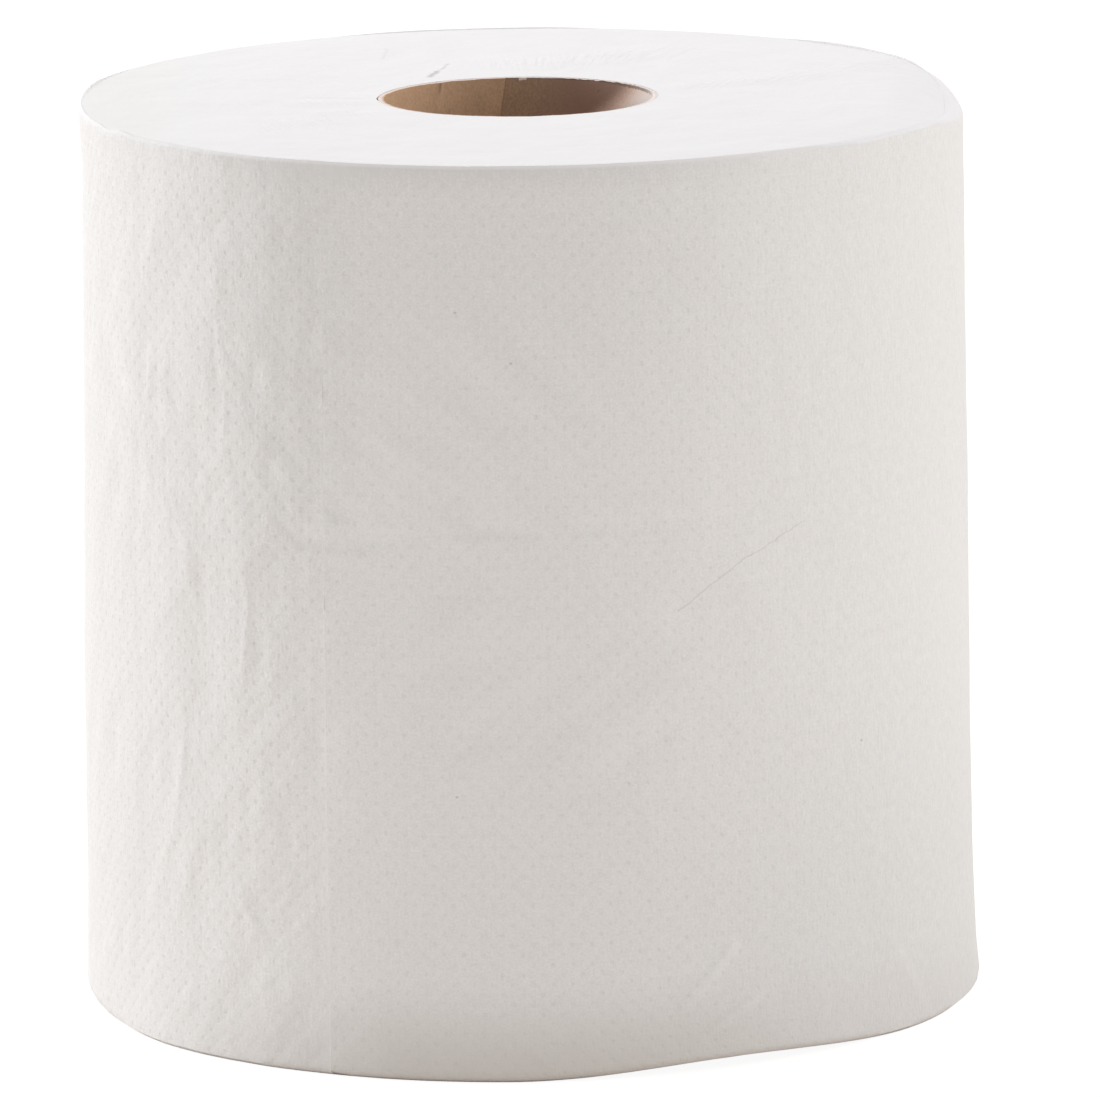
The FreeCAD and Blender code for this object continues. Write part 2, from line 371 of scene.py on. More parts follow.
def embossed_paper(settings):
    """Soft two-ply paper, pressed with dots in a diamond lattice that follows the web, with painted shade
    and painted highlights in its colour.
    """
    material, recipe = new_material("embossed_paper")
    web = recipe.web_place()
    along, up, _ = recipe.parts(web)

    # The lattice of dots wanders a little, as soft paper does
    wander = recipe.noise(web, 30.0, 1.0)
    tremble = recipe.noise(web, 300.0, 1.0)
    across = (along + wander * 1.2 * MM + tremble * 0.5 * MM) / (settings.dot_pitch / 2)
    rows = (up + recipe.noise(web, 260.0, 1.0) * 0.5 * MM) / settings.row_pitch
    rising = recipe.cosine((across + rows) * math.pi)
    falling = recipe.cosine((across - rows) * math.pi)
    pillow = (rising + falling) * 0.25 + 0.5
    pit = pillow.step(0.78, 1.0) * (settings.height - up).past(1, 6)

    # Handling has pressed the dots flat on one side, worn them at the tail's foot and left them plump
    # elsewhere near the tail
    flattened = along.band(60, 150, 235, 300)
    plump = along.past(490, 560)
    front = 1.0 - along.past(40, 80) * (1.0 - plump)
    uneven = recipe.noise(web, 240.0, 2.0)
    worn = along.past(575, 595) * up.before(8, 60)
    pressed = (0.36 + 0.28 * uneven.step(0.3, 0.7)) * (1.0 - 0.75 * flattened) + 0.14 * plump
    pressed = pressed * (1.0 - 0.6 * worn)
    drawn = recipe.noise(web, 36.0, 1.0).step(0.42, 0.6) * falling * front

    crepe = recipe.noise(recipe.vector(along, up * 0.28), 1500.0, 3.0)
    fibres = recipe.noise(web, 1900.0, 3.0)
    rumple = recipe.noise(recipe.vector(along, up * 0.7), 230.0, 3.0, 0.4)
    billow = recipe.noise(recipe.vector(along, up * 0.5), 62.0, 2.0, 0.5)
    relief = crepe * (0.06 + 0.05 * flattened + 0.04 * plump) + fibres * 0.06
    relief = relief + rumple * (0.14 + 0.16 * plump) + billow * (0.5 + 0.3 * plump)

    # Slanting sweeps and a soft level fold run across the tail; the sweeps are also painted in as shade and
    # light, and the fold marks are painted shade and painted highlights
    level = up * 0.81 + along * 0.58
    sweep = recipe.noise(recipe.vector(level, (along * 0.81 - up * 0.58) * 0.3), 130.0, 2.0)
    swept = up.band(100, 120, 145, 180) * front
    fold = 0.0
    for start, end, reach, strength in LEVEL_FOLD_SHADING + FOOT_FOLD_SHADING:
        fold = fold + recipe.stroke(along, up, start, end, reach) * strength
    relief = relief + sweep * swept * 0.5

    # A fan of soft ridges rises to the right under the level fold, in the relief and as painted shade and
    # light in the colour
    slant = up * 0.8 - along * 0.6
    fan = recipe.noise(recipe.vector(slant, (along * 0.8 + up * 0.6) * 0.3), 130.0, 2.0)
    fanned = up.band(55, 72, 95, 112) * along.band(12, 30, 70, 90)
    relief = relief + fan * fanned * 0.5
    relief = relief - pit * pressed * (settings.dot_depth / MM) + drawn * 0.03 - pillow * front * 0.05

    cloud = recipe.noise(web, 420.0, 3.0)
    grain = (1.6 - 0.6 * flattened) * (fibres - 0.5) + (0.6 + 0.5 * flattened) * (crepe - 0.5)
    shade = grain + 0.5 * (cloud - 0.5) + 0.27
    # Painted shade darkens the dots' hollows, more where they are pressed; the sweeps and the fan are
    # painted in as shade and light, and the fold marks as painted shade and painted highlights
    shade = shade + 0.55 * pit * pressed + (sweep - 0.5) * swept * 0.8 + (fan - 0.5) * fanned * 0.8 + fold

    # Dark streaks along the frayed upper edge are painted shade, and painted shade darkens the front below
    # the upper edge, the paper beside the fold, the lower right and the far left
    top = settings.height
    frayed = up.step(top - 4.5 * MM, top) * crepe.step(0.36, 0.7) * front * 0.5
    facing = 1.0 - along.band(60, 120, 575, 608)
    painted_top_shade = up.step(top - 70 * MM, top - 15 * MM) * 0.2 + up.step(top - 8 * MM, top) * 0.4
    beside = along.past(574, 596) + 1.0 - along.past(0, 16)
    beside = beside * up.past(60, 135) * 0.34
    right_foot_shade = along.band(70, 110, 170, 240)
    right_foot_shade = right_foot_shade * up.before(10, 100) * 0.40
    tail = settings.base_radius * TURN
    clear = 0.2 + 0.8 * up.before(88, 120)
    far_left_shade = along.band(480, 520, 532, 550)
    # A pale stripe of painted highlight runs beside the tail's edge
    shade = shade + 0.14 * far_left_shade - 0.3 * clear * along.step(tail - 2.6 * MM, tail - 0.3 * MM)
    shade = recipe.limited(shade + frayed + facing * painted_top_shade + beside + right_foot_shade)
    base = recipe.mix(shade, colour(settings.paper_colour), colour(settings.paper_colour, 0.86))
    # Painted shade darkens and warms the lowest 24 mm, most at the front on both sides of the tail
    front_foot_shade = 0.54 + 0.26 * along.past(4, 18) - 0.5 * along.past(60, 120)
    foot = up.before(0, 24) * front_foot_shade
    foot = foot * (1.0 - along.past(150, 215) * (1.0 - along.past(565, 608) * 1.35))
    base = recipe.mix(foot, base, (0.68, 0.645, 0.605, 1.0))

    # A hair-thin scratch, one long faint line and a few specks of waste fibre
    wobble = (tremble - 0.5) * 1.5 * MM
    scratch = recipe.stroke(along, up + wobble, HAIR[0], HAIR[1], 0.3 * MM)
    scratch = recipe.larger(scratch, recipe.stroke(along, up + wobble, HAIR[1], HAIR[2], 0.22 * MM))
    line = recipe.stroke(along + wobble * 0.4, up, THIN_LINE[0], THIN_LINE[1], 0.3 * MM)
    marks = recipe.larger(scratch * 0.16, line * 0.10)
    for place in SPECKS:
        end = (place[0] + 0.2 * MM, place[1])
        marks = recipe.larger(marks, recipe.stroke(along, up, place, end, 0.42 * MM) * 0.35)
    base = recipe.mix(marks, base, (0.2, 0.13, 0.1, 1.0))

    # The tail's cut edge is a faint pale line of painted highlight, with a small dark mark of painted shadow
    # at its foot
    cut_edge_highlight = along.step(tail - 0.3 * MM, tail - 0.12 * MM)
    base = recipe.mix(cut_edge_highlight * clear * 0.5, base, (0.95, 0.945, 0.94, 1.0))
    nick_shadow = recipe.stroke(along, up, NICK_SHADOW[0], NICK_SHADOW[1], 0.9 * MM)
    base = recipe.mix(nick_shadow * 0.7, base, (0.2, 0.18, 0.15, 1.0))

    # The upper rim has the greyer tone of the cut edges, and more of it shows where it is rounded off
    bulge = along.band(140, 180, 225, 265)
    rim = up.step(top - (0.9 + 2.2 * bulge) * MM, top - (0.3 + 0.7 * bulge) * MM)
    base = recipe.mix(rim, base, colour(settings.edge_colour))
    finish_surface(recipe, base, relief, 0.85)
    return material


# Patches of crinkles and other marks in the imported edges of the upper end, by x and y
CRINKLES = (
    streak((-2, 44), (12, 48), 17, 1.0),
    streak((22, 54), (31, 62), 13, 1.0),
    streak((34, 48), (38, 52), 7, 0.6),
    streak((38, 9), (59, 20), 9, 0.8),
    streak((59, 20), (80, 40), 12, 0.8),
    streak((-29, 60), (-30, 68), 7, 0.6),
    streak((-38, -8), (-70, -9), 9, 0.6),
    streak((-42, -28), (-52, -40), 16, 0.7),
    streak((-48, 30), (-66, 22), 16, 0.6),
    streak((-56, 32), (-62, 40), 14, 0.4),
)
CREASE = in_metres([(-20.0, 26.0), (-18.0, 34.0), (-15.7, 44.0)])
HOOK = in_metres([(-29.6, 66.0), (-30.2, 53.0)])


def packed_edges(settings):
    """The cut edges of the turns, packed side by side, with fine crinkles across them."""
    material, recipe = new_material("packed_edges")
    place = recipe.node("ShaderNodeTexCoord", None, None, "Object")
    x, y, z = recipe.parts(place)
    radius = recipe.size(recipe.vector(x, y))
    turns = recipe.noise(recipe.vector(radius + x / radius * 0.18 * MM, 0.0), 2600.0, 2.0)
    bands = recipe.noise(recipe.vector(radius, x / radius * 4 * MM, y / radius * 4 * MM), 420.0, 2.0)
    blotches = recipe.noise(place, 110.0, 3.0)

    # The blade has left fine crinkles, in patches, that fan out behind the core
    slant = (x - 3 * MM) / 0.14
    strokes = recipe.noise(recipe.vector(x - y * slant, y * 0.07), 1150.0, 2.0, 0.2)
    warp = x + (recipe.noise(place, 420.0, 2.0) - 0.5) * 2 * MM
    patches = 0.05
    for start, end, reach, strength in CRINKLES:
        patches = recipe.larger(patches, recipe.stroke(x, y, start, end, reach) * strength)
    crease = recipe.larger(
        recipe.stroke(warp, y, CREASE[0], CREASE[1], 1.0 * MM) * 0.6,
        recipe.stroke(warp, y, CREASE[1], CREASE[2], 0.7 * MM) * 0.3,
    )
    hook = recipe.stroke(warp, y, HOOK[0], HOOK[1], 0.6 * MM) * 0.12
    on_top = z.step(0.19, 0.194)
    crease = recipe.larger(crease, hook) * on_top
    relief = turns * 0.03 + bands * 0.08 + strokes * patches * 0.5 + blotches * 0.6 - crease * 0.4
    shade = turns * 0.35 + bands * 0.3 + blotches * 0.8 + (strokes - 0.5) * patches * 1.4 - 0.25
    shade = recipe.limited(shade)
    base = recipe.mix(shade, colour(settings.edge_colour), colour(settings.edge_colour, 0.965))
    # Painted shade makes the left of the upper end darker and warmer
    base = recipe.mix(x.before(-90, -62), base, (0.845, 0.83, 0.805, 1.0))
    # Painted shade darkens the crease and the hook
    base = recipe.mix(crease * 0.75, base, (0.30, 0.28, 0.28, 1.0))
    finish_surface(recipe, base, relief, 0.9)
    return material


# Marks on the core's bore, by millimetres along its inner ply and millimetres below the rim
CORE_CREASE = 15.9
SPECK = in_metres([(166, 2.3), (166.2, 2.3)])
FLAKE = in_metres([(184.0, 0.2), (185.2, 0.2)])


def core_board(settings):
    """Recycled cardboard with a faint gloss, painted light and shade in the bore, a patch of painted light
    on its right wall and a pale cut rim.
    """
    material, recipe = new_material("core_board")
    web = recipe.web_place()
    along, up, deep = recipe.parts(web)
    _, _, z = recipe.parts(recipe.node("ShaderNodeTexCoord", None, None, "Object"))
    below = settings.rim_height - z
    mottle = recipe.noise(web, 1700.0, 3.0)
    fibres = recipe.noise(recipe.vector(along, up * 0.5, deep * 0.001), 2600.0, 2.0)
    cloud = recipe.noise(web, 160.0, 2.0)
    board = settings.board_colour
    tone = (mottle * 0.4 + fibres * 0.4 + cloud * 0.2).step(0.32, 0.68)
    face = recipe.mix(tone, colour(board, 0.8), colour(board, 1.16))

    # Painted shade makes the board darker and redder away from the seam, and painted light makes it lighter
    # towards the seam from the other side
    painted_bore_light = 0.42 + 0.5 * along.past(0, 34) - 0.92 * along.past(40, 90)
    painted_bore_light = painted_bore_light + 0.26 * along.past(172, 188) - 0.42 * along.past(120, 121)
    lit_board = [board[0] * 1.98, board[1] * 1.97, board[2] * 1.86]
    face = recipe.mix(recipe.limited(painted_bore_light), face, recipe.mix(tone, colour(lit_board, 0.8), colour(lit_board)))
    far = along.band(150, 163, 170, 186)
    face = recipe.mix(far * 0.8, face, colour([board[0] * 0.72, board[1] * 0.66, board[2] * 0.82]))
    # A patch of painted light lies on the bore's wall below the rim
    spread = along - below * 1.3 + (mottle - 0.5) * 4 * MM
    painted_glow = spread.before(150, 160)
    painted_glow = painted_glow * along.past(118, 134) * below.before(12, 24)
    glow_colour = recipe.mix(spread.past(146, 156), (0.99, 0.88, 0.82, 1.0), (0.95, 0.7, 0.58, 1.0))
    face = recipe.mix(painted_glow, face, glow_colour)

    # Painted shade darkens a crease that runs down from the rim, and the ragged edge right of the seam
    off = recipe.maths("ABSOLUTE", along - CORE_CREASE * MM - (cloud - 0.5) * 0.6 * MM)
    crease = off.before(0.05, 0.55)
    crease = crease * below.before(1, 3.4)
    ragged = recipe.noise(recipe.vector(along, 0.0), 900.0, 2.0)
    ragged = ragged * (0.35 * MM + 0.75 * MM * along.before(153, 170))
    edge = (below - ragged).before(-0.05, 0.2) * along.past(138, 150)
    speck = recipe.stroke(along, below, SPECK[0], SPECK[1], 0.35 * MM)
    shade = recipe.limited(crease * 0.6 + edge * 0.7 + speck * 0.8)
    face = recipe.mix(shade, face, colour(board, 0.45))
    flake = recipe.stroke(along, below + (mottle - 0.5) * MM, FLAKE[0], FLAKE[1], 0.45 * MM)
    face = recipe.mix(flake.step(0.1, 0.5), face, colour(settings.rim_colour))

    # The cut rim is pale, and darker towards the bore
    cut = deep.step(0.02, 0.06) * (1.0 - deep.step(0.50, 0.85) * 0.85)
    cut = cut * (1.0 - deep.step(0.94, 0.98))
    base = recipe.mix(cut, face, colour(settings.rim_colour))
    finish_surface(recipe, base, fibres * 0.03 + mottle * 0.05, 0.6, 0.5)
    return material


# The wound shape

WOUND_INPUTS = {
    "NodeSocketFloat": (
        *("Base Radius", "Top Radius", "Height", "Thickness", "Thickness Change", "Growth"),
        *("Start Angle", "Lap Angle", "Lean", "Column Crowding", "Row Crowding"),
    ),
    "NodeSocketInt": ("Columns", "Outside Rows", "Top Rows", "Inside Rows", "Bottom Rows"),
    "NodeSocketBool": ("Closed",),
    "NodeSocketMaterial": ("Material",),
}
# The sweep's own path stops just short of a whole turn, so that the ends of an open one stay apart
PATH_ANGLE = 6.28
# Size of the section before the winding spreads it out, against a path of radius 1
SECTION_SIZE = 0.01
# What a part is wound with where its own sizes don't say
PLAIN_SIZES = {
    "Thickness Change": 0.0,
    "Growth": 0.0,
    "Lap Angle": 0.0,
    "Lean": 0.0,
    "Column Crowding": 0.0,
    "Row Crowding": 0.0,
    "Closed": False,
}


def crowded(recipe, share, crowding):
    """A share from 0 to 1 with its steps drawn closer together near both ends."""
    return share - recipe.sine(share * TURN) * crowding / TURN


def side_share(recipe, index, first, count):
    """How far along one side of the section a point is, from 0 to 1."""
    return recipe.limited((index - first) / count)


def wound_part_tree():
    """Sweeps a four-sided section once round the axis along a spiral, with its own rows on each side."""
    tree = bpy.data.node_groups.new("wound_part", "GeometryNodeTree")
    tree.is_modifier = True
    for kind, names in WOUND_INPUTS.items():
        for name in names:
            tree.interface.new_socket(name, in_out="INPUT", socket_type=kind)
    tree.interface.new_socket("Geometry", in_out="OUTPUT", socket_type="NodeSocketGeometry")
    recipe = Recipe(tree)
    group = tree.nodes.new("NodeGroupInput")
    given = {output.name: Wire(recipe, output) for output in group.outputs}
    index = recipe.node("GeometryNodeInputIndex")

    # The path: a ring of points, open at the tail unless it is closed
    line = recipe.node("GeometryNodeMeshLine", None, {"Count": given["Columns"]})
    last = given["Columns"] - 1.0 + given["Closed"]
    share = index / last
    angle = share * PATH_ANGLE
    ring = recipe.placed(line, recipe.vector(recipe.cosine(angle), recipe.sine(angle)))
    ring = recipe.node("GeometryNodeMeshToCurve", None, {"Mesh": ring})
    ring = recipe.node("GeometryNodeSetSplineCyclic", None, {"Geometry": ring, "Cyclic": given["Closed"]})
    ring = recipe.stored(ring, "turn_share", share)

    # The section: up the outside, over the top, down the inside and back along the bottom
    corner_top = given["Outside Rows"]
    corner_bore = corner_top + given["Top Rows"]
    corner_foot = corner_bore + given["Inside Rows"]
    total = corner_foot + given["Bottom Rows"]
    rise = side_share(recipe, index, 0.0, given["Outside Rows"])
    rise = crowded(recipe, rise, given["Row Crowding"])
    over = side_share(recipe, index, corner_top, given["Top Rows"])
    fall = side_share(recipe, index, corner_bore, given["Inside Rows"])
    fall = crowded(recipe, fall, given["Row Crowding"])
    back = side_share(recipe, index, corner_foot, given["Bottom Rows"])
    high = rise - fall
    deep = over - back
    section = recipe.node("GeometryNodeMeshLine", None, {"Count": total})
    section = recipe.placed(section, recipe.vector(deep * SECTION_SIZE, high * SECTION_SIZE))
    section = recipe.node("GeometryNodeMeshToCurve", None, {"Mesh": section})
    section = recipe.node("GeometryNodeSetSplineCyclic", None, {"Geometry": section, "Cyclic": True})
    section = recipe.stored(recipe.stored(section, "high_share", high), "deep_share", deep)
    inputs = {"Curve": ring, "Profile Curve": section, "Fill Caps": True}
    swept = recipe.node("GeometryNodeCurveToMesh", None, inputs)

    # The winding: each point's share of the turn, height and depth give its place
    turn_share = recipe.recalled("turn_share")
    high_share = recipe.recalled("high_share")
    deep_share = recipe.recalled("deep_share")
    lap = given["Lap Angle"]
    travel = (TURN + lap) * turn_share - lap - recipe.sine(turn_share * TURN) * given["Column Crowding"]
    second_half = recipe.larger(travel - math.pi, 0.0)
    growth = given["Growth"] * (1.0 - recipe.cosine(second_half)) * 0.5
    outside = given["Base Radius"] + (given["Top Radius"] - given["Base Radius"]) * high_share + growth
    thickness = given["Thickness"] + given["Thickness Change"] * turn_share
    radius = outside - deep_share * thickness
    height = high_share * given["Height"]
    azimuth = given["Start Angle"] + travel + given["Lean"] * (height - given["Height"])
    place = recipe.vector(radius * recipe.cosine(azimuth), radius * recipe.sine(azimuth), height)
    web = recipe.vector(travel * given["Base Radius"], height, deep_share)
    wound = recipe.stored(recipe.placed(swept, place), "web", web, "FLOAT_VECTOR")
    wound = recipe.node("GeometryNodeFlipFaces", None, {"Mesh": wound})
    wound = recipe.node("GeometryNodeRealizeInstances", None, {"Geometry": wound})
    wound = recipe.node("GeometryNodeSetMaterial", None, {"Geometry": wound, "Material": given["Material"]})
    recipe.node("NodeGroupOutput", None, {"Geometry": wound})
    return tree


def wind_part(name, sizes):
    """Winds a part with the shared tree and gives its plain mesh object."""
    sizes = {**PLAIN_SIZES, **sizes}
    tree = bpy.data.node_groups.get("wound_part") or wound_part_tree()
    blank = bpy.data.objects.new(name, bpy.data.meshes.new(name))
    bpy.context.scene.collection.objects.link(blank)
    modifier = blank.modifiers.new("wound_part", "NODES")
    modifier.node_group = tree
    for item in tree.interface.items_tree:
        if item.in_out == "INPUT":
            modifier[item.identifier] = sizes[item.name]
    bpy.context.view_layer.update()
    depsgraph = bpy.context.evaluated_depsgraph_get()
    mesh = bpy.data.meshes.new_from_object(
        blank.evaluated_get(depsgraph), preserve_all_data_layers=True, depsgraph=depsgraph
    )
    blank.modifiers.clear()
    spare = blank.data
    blank.data = mesh
    bpy.data.meshes.remove(spare)
    mesh.name = name
    return blank


# Shaping

Fold = namedtuple("Fold", "path left right depth")
# Millimetres round the outside of the roll for one degree
ARC = math.radians(96)
# How far from its end the tail is pressed down, in millimetres
PRESSED_REACH = 15


def mesh_places(mesh):
    """The mesh's corners, as rows of x, y and z in millimetres."""
    places = np.empty(len(mesh.vertices) * 3, np.float32)
    mesh.vertices.foreach_get("co", places)
    return places.reshape(-1, 3).astype(float) / MM


def mesh_web(mesh):
    """Each corner's place on the web: distance along it and height in millimetres, and depth share."""
    web = np.empty(len(mesh.vertices) * 3, np.float32)
    mesh.attributes["web"].data.foreach_get("vector", web)
    web = web.reshape(-1, 3).astype(float)
    return web[:, 0] / MM, web[:, 1] / MM, web[:, 2]


def move_corners(mesh, places):
    """Puts the mesh's corners at places given in millimetres."""
    mesh.vertices.foreach_set("co", (places * MM).astype(np.float32).ravel())
    mesh.update()


def soft_noise(across, up, width, height, seed):
    """Smooth noise from -1 to 1 with cells of the given width and height."""
    column = across / width
    row = up / height
    first_column = np.floor(column).astype(int)
    first_row = np.floor(row).astype(int)
    shift_column = column - first_column
    shift_row = row - first_row
    ease_column = shift_column**2 * (3 - 2 * shift_column)
    ease_row = shift_row**2 * (3 - 2 * shift_row)
    first_column -= first_column.min()
    first_row -= first_row.min()
    grid = np.random.default_rng(seed).uniform(-1, 1, (first_column.max() + 2, first_row.max() + 2))
    low = grid[first_column, first_row] * (1 - ease_column) + grid[first_column + 1, first_row] * ease_column
    high = grid[first_column, first_row + 1] * (1 - ease_column)
    high += grid[first_column + 1, first_row + 1] * ease_column
    return low * (1 - ease_row) + high * ease_row


def hump(value, centre, reach):
    """1 at the centre, falling smoothly to 0 at the given reach on both sides."""
    share = np.clip(1 - np.abs(value - centre) / reach, 0, 1)
    return share**2 * (3 - 2 * share)


def fold_relief(azimuth, up, fold):
    """How far one fold stands out, in millimetres. Its crest follows the path and dies away at both ends."""
    points = np.array([(angle * ARC, height) for angle, height in fold.path])
    lengths = np.hypot(*np.diff(points, axis=0).T)
    total = lengths.sum()
    nearest = np.full(azimuth.shape, 1e9)
    sideways = np.zeros(azimuth.shape)
    progress = np.zeros(azimuth.shape)
    covered = 0.0
    for start, end, length in zip(points[:-1], points[1:], lengths):
        direction = (end - start) / length
        run_across = azimuth * ARC - start[0]
        run_up = up - start[1]
        along = np.clip(run_across * direction[0] + run_up * direction[1], 0, length)
        off_across = run_across - along * direction[0]
        off_up = run_up - along * direction[1]
        distance = np.hypot(off_across, off_up)
        side = off_across * direction[1] - off_up * direction[0]
        closer = distance < nearest
        nearest = np.where(closer, distance, nearest)
        sideways = np.where(closer, side, sideways)
        progress = np.where(closer, (covered + along) / total, progress)
        covered += length
    downwards = points[-1][1] < points[0][1]
    on_right = sideways < 0 if downwards else sideways > 0
    reach = np.where(on_right, fold.right, fold.left)
    fade = np.clip(nearest / reach, 0, 1)
    taper = np.clip(5 * progress * (1 - progress), 0, 1)
    return fold.depth * taper * (1 - fade) ** 2


# Every fold's path is in degrees round the axis and millimetres up
UPPER_CREASE = ((-132.4, 166), (-130.7, 142), (-130.9, 139), (-131.3, 132))
UPPER_CREASE += ((-130.9, 129), (-129.9, 124.5), (-129.8, 116))
LOWER_CREASE = ((-129.9, 115), (-129.3, 112), (-127.9, 105.5), (-127.4, 100.5), (-127.8, 93), (-128.8, 80))
FOLDS = (
    Fold(UPPER_CREASE, 2.2, 6, 0.5),
    Fold(LOWER_CREASE, 2.4, 6, 0.5),
    Fold(((-142.6, 186), (-143.6, 178), (-144.8, 171), (-146.2, 162)), 4, 3, 0.35),
    Fold(((-145.9, 166), (-149.2, 154), (-153, 141)), 5, 4, 0.3),
    Fold(((-144.6, 152), (-145.4, 144), (-146.6, 134)), 3.5, 3, 0.35),
    Fold(((-139.6, 78), (-138.8, 68), (-139.9, 58), (-141.4, 47), (-145.5, 34)), 5, 3.5, 0.5),
    Fold(((-134.6, 54), (-136.8, 46), (-138.9, 36), (-142.5, 23)), 4, 3, 0.42),
    Fold(((-130.4, 43), (-128.4, 34), (-126.1, 28), (-123.4, 21)), 3, 3, 0.38),
    Fold(((-141, 124), (-138.4, 108), (-136.2, 96), (-135, 84)), 4, 3.5, 0.28),
    Fold(((-135.4, 128), (-133.8, 116), (-132.6, 105)), 3, 3, 0.25),
    Fold(((-131, 150), (-125.3, 135), (-119.7, 121), (-113.5, 109)), 3, 5, 0.4),
    Fold(((-128, 145), (-121.8, 131), (-115, 116)), 3, 4, 0.34),
    Fold(((-126.6, 124), (-121, 117), (-115.4, 115.6), (-106, 116.4), (-97, 118.8)), 3, 5, 0.24),
    Fold(((-97.8, 119), (-84, 119.4), (-72, 119.8)), 2.5, 5, 0.14),
    Fold(((-90.6, 140.2), (-80, 141), (-70.1, 138.7)), 2.5, 3, 0.1),
    Fold(((-96.5, 188.4), (-88, 189.5), (-80.1, 190)), 2.5, 3, 0.12),
    Fold(((-126.5, 188.4), (-119.2, 186), (-114.6, 182.8)), 2.5, 3, 0.18),
    Fold(((-65, 112), (-60, 96), (-53, 77.5)), 4, 5, 0.12),
    Fold(((-45, 172), (-42, 152), (-40, 135)), 4, 5, 0.14),
    Fold(((-63.3, 28), (-67, 20.5), (-71, 13)), 2.5, 2.5, 0.34),
    Fold(((-59.5, 16.5), (-63, 12.5), (-67.5, 8)), 2.5, 2.5, 0.32),
    Fold(((-92.8, 11), (-89.5, 6), (-86.2, 1.5)), 1.5, 2.5, 0.4),
    Fold(((-36.5, 19), (-33.5, 12), (-30, 4.5)), 4, 3, 0.5),
    Fold(((150, 30), (146, 80), (149, 140), (145, 178)), 12, 5, 0.5),
    Fold(((95, 60), (99, 95), (96, 130)), 5, 9, 0.35),
    Fold(((60, 165), (52, 130), (55, 85), (50, 40)), 6, 12, 0.45),
    Fold(((20, 150), (26, 110), (24, 70)), 7, 4, 0.25),
)


def web_slack(azimuth, up):
    """How far the loose outer turn stands off the roll, in millimetres."""
    arc = azimuth * ARC
    loose = np.clip(hump(azimuth, -140, 42) + 0.5 * hump(azimuth, 140, 60) + 0.3, 0, 1)
    slack = 0.26 * soft_noise(arc + up * 0.18, up, 24, 75, 11)
    slack += 0.16 * soft_noise(arc - up * 0.35, up, 10, 36, 12) * loose
    slack += 0.15 * soft_noise(arc - up * 0.8, up + arc * 0.4, 5, 18, 13) * loose
    slack += 0.13 * soft_noise(arc, up, 3.4, 10, 14) * loose
    slack -= (0.1 + 1.1 * np.clip(up / 190, 0, 1)) * hump(np.abs(azimuth), 180, 28)
    slack -= 0.28 * hump(azimuth, 0, 34) * np.clip((up - 20) / 40, 0, 1)
    slack -= 0.55 * hump(azimuth, -135, 7) * hump(up, 98, 62)
    slack -= 0.35 * hump(azimuth, -141, 9) * hump(up, 150, 40)
    slack += 0.08 * soft_noise(arc, up, 30, 8, 15) * hump(azimuth, -100, 60)
    uneven = 0.62 + 0.38 * soft_noise(arc, up, 4.5, 6, 16)
    for fold in FOLDS:
        slack += fold_relief(azimuth, up, fold) * uneven
    return slack


def shoulder(azimuth):
    """How far the roll's upper edge sinks and rounds off, in millimetres."""
    return 3.4 * hump(azimuth, -2, 34) + 0.6 * hump(azimuth, -38, 19) + 0.2 * hump(np.abs(azimuth), 180, 26)


def rim_round(azimuth):
    """Radius of the soft corner along the upper edge, in millimetres."""
    return 0.42 + shoulder(azimuth) + 0.2 * hump(azimuth, -143, 28)


def rim_lift(azimuth):
    """How far the outer turn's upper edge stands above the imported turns, in millimetres."""
    lift = 0.04 * soft_noise(azimuth, azimuth * 0, 7, 1, 21) + 0.1 * hump(azimuth, -20, 22) - 0.06
    lift += 0.45 * hump(azimuth, 42, 15) + 0.2 * hump(azimuth, 27, 8) - 0.3 * hump(azimuth, 66, 22)
    lift += 0.2 * hump(azimuth, 88, 16)
    lift += 0.26 * hump(azimuth, 104, 15) + 0.3 * hump(azimuth, 165, 14)
    return lift - 0.4 * hump(azimuth, -157, 3.5) + 0.25 * hump(azimuth, -152, 3)


def rim_lean(azimuth):
    """How far the roll's upper edge leans in, in millimetres."""
    lean = 0.5 * hump(azimuth, -172, 20) + 0.5 * hump(azimuth, 188, 20) - 0.4 * hump(azimuth, 163, 12)
    return lean + 0.4 * hump(azimuth, 0, 25)


def tail_press(left_over, up, deep):
    """How far the tail is pressed down, in millimetres, by what is left of the web beyond each corner."""
    near_end = hump(left_over, 0, PRESSED_REACH)
    lifted = 0.16 * hump(up, 146.5, 2.2) * hump(left_over, 0, 1.5)
    return (0.346 * near_end - lifted) * (1 - deep) + 0.15 * near_end * deep


def foot_lift(azimuth):
    """How far the roll's lower edge stands above the floor, in millimetres."""
    return 0.02 + 2.0 * hump(azimuth, -63, 30) + 0.04 * (1 + soft_noise(azimuth, azimuth * 0, 14, 1, 22))


def foot_round(azimuth):
    """Radius of the soft corner at the foot, in millimetres."""
    soft = 1.8 + 0.8 * hump(azimuth, -62, 34) + 1.2 * hump(np.abs(azimuth), 180, 34)
    return soft - 0.9 * hump(azimuth, -28, 26) - 0.6 * hump(azimuth, -143, 26)


def foot_spread(azimuth):
    """How far the foot spreads under the roll's weight, in millimetres."""
    front = 1.8 * hump(azimuth, -112, 56) + 0.9 * hump(azimuth, -143, 20)
    return 0.3 + 0.85 * hump(azimuth, -8, 44) + front


def corner_inset(gap, size):
    """How far a rounded corner draws in at a distance from the end, in millimetres."""
    share = np.clip(1 - gap / size, 0, 1)
    return size * (1 - np.sqrt(np.clip(1 - share**2, 0, 1)))


def azimuths(places):
    """Each corner's direction from the axis, in degrees."""
    return np.degrees(np.arctan2(places[:, 1], places[:, 0]))


def radii(places):
    """Each corner's distance from the axis."""
    return np.hypot(places[:, 0], places[:, 1])


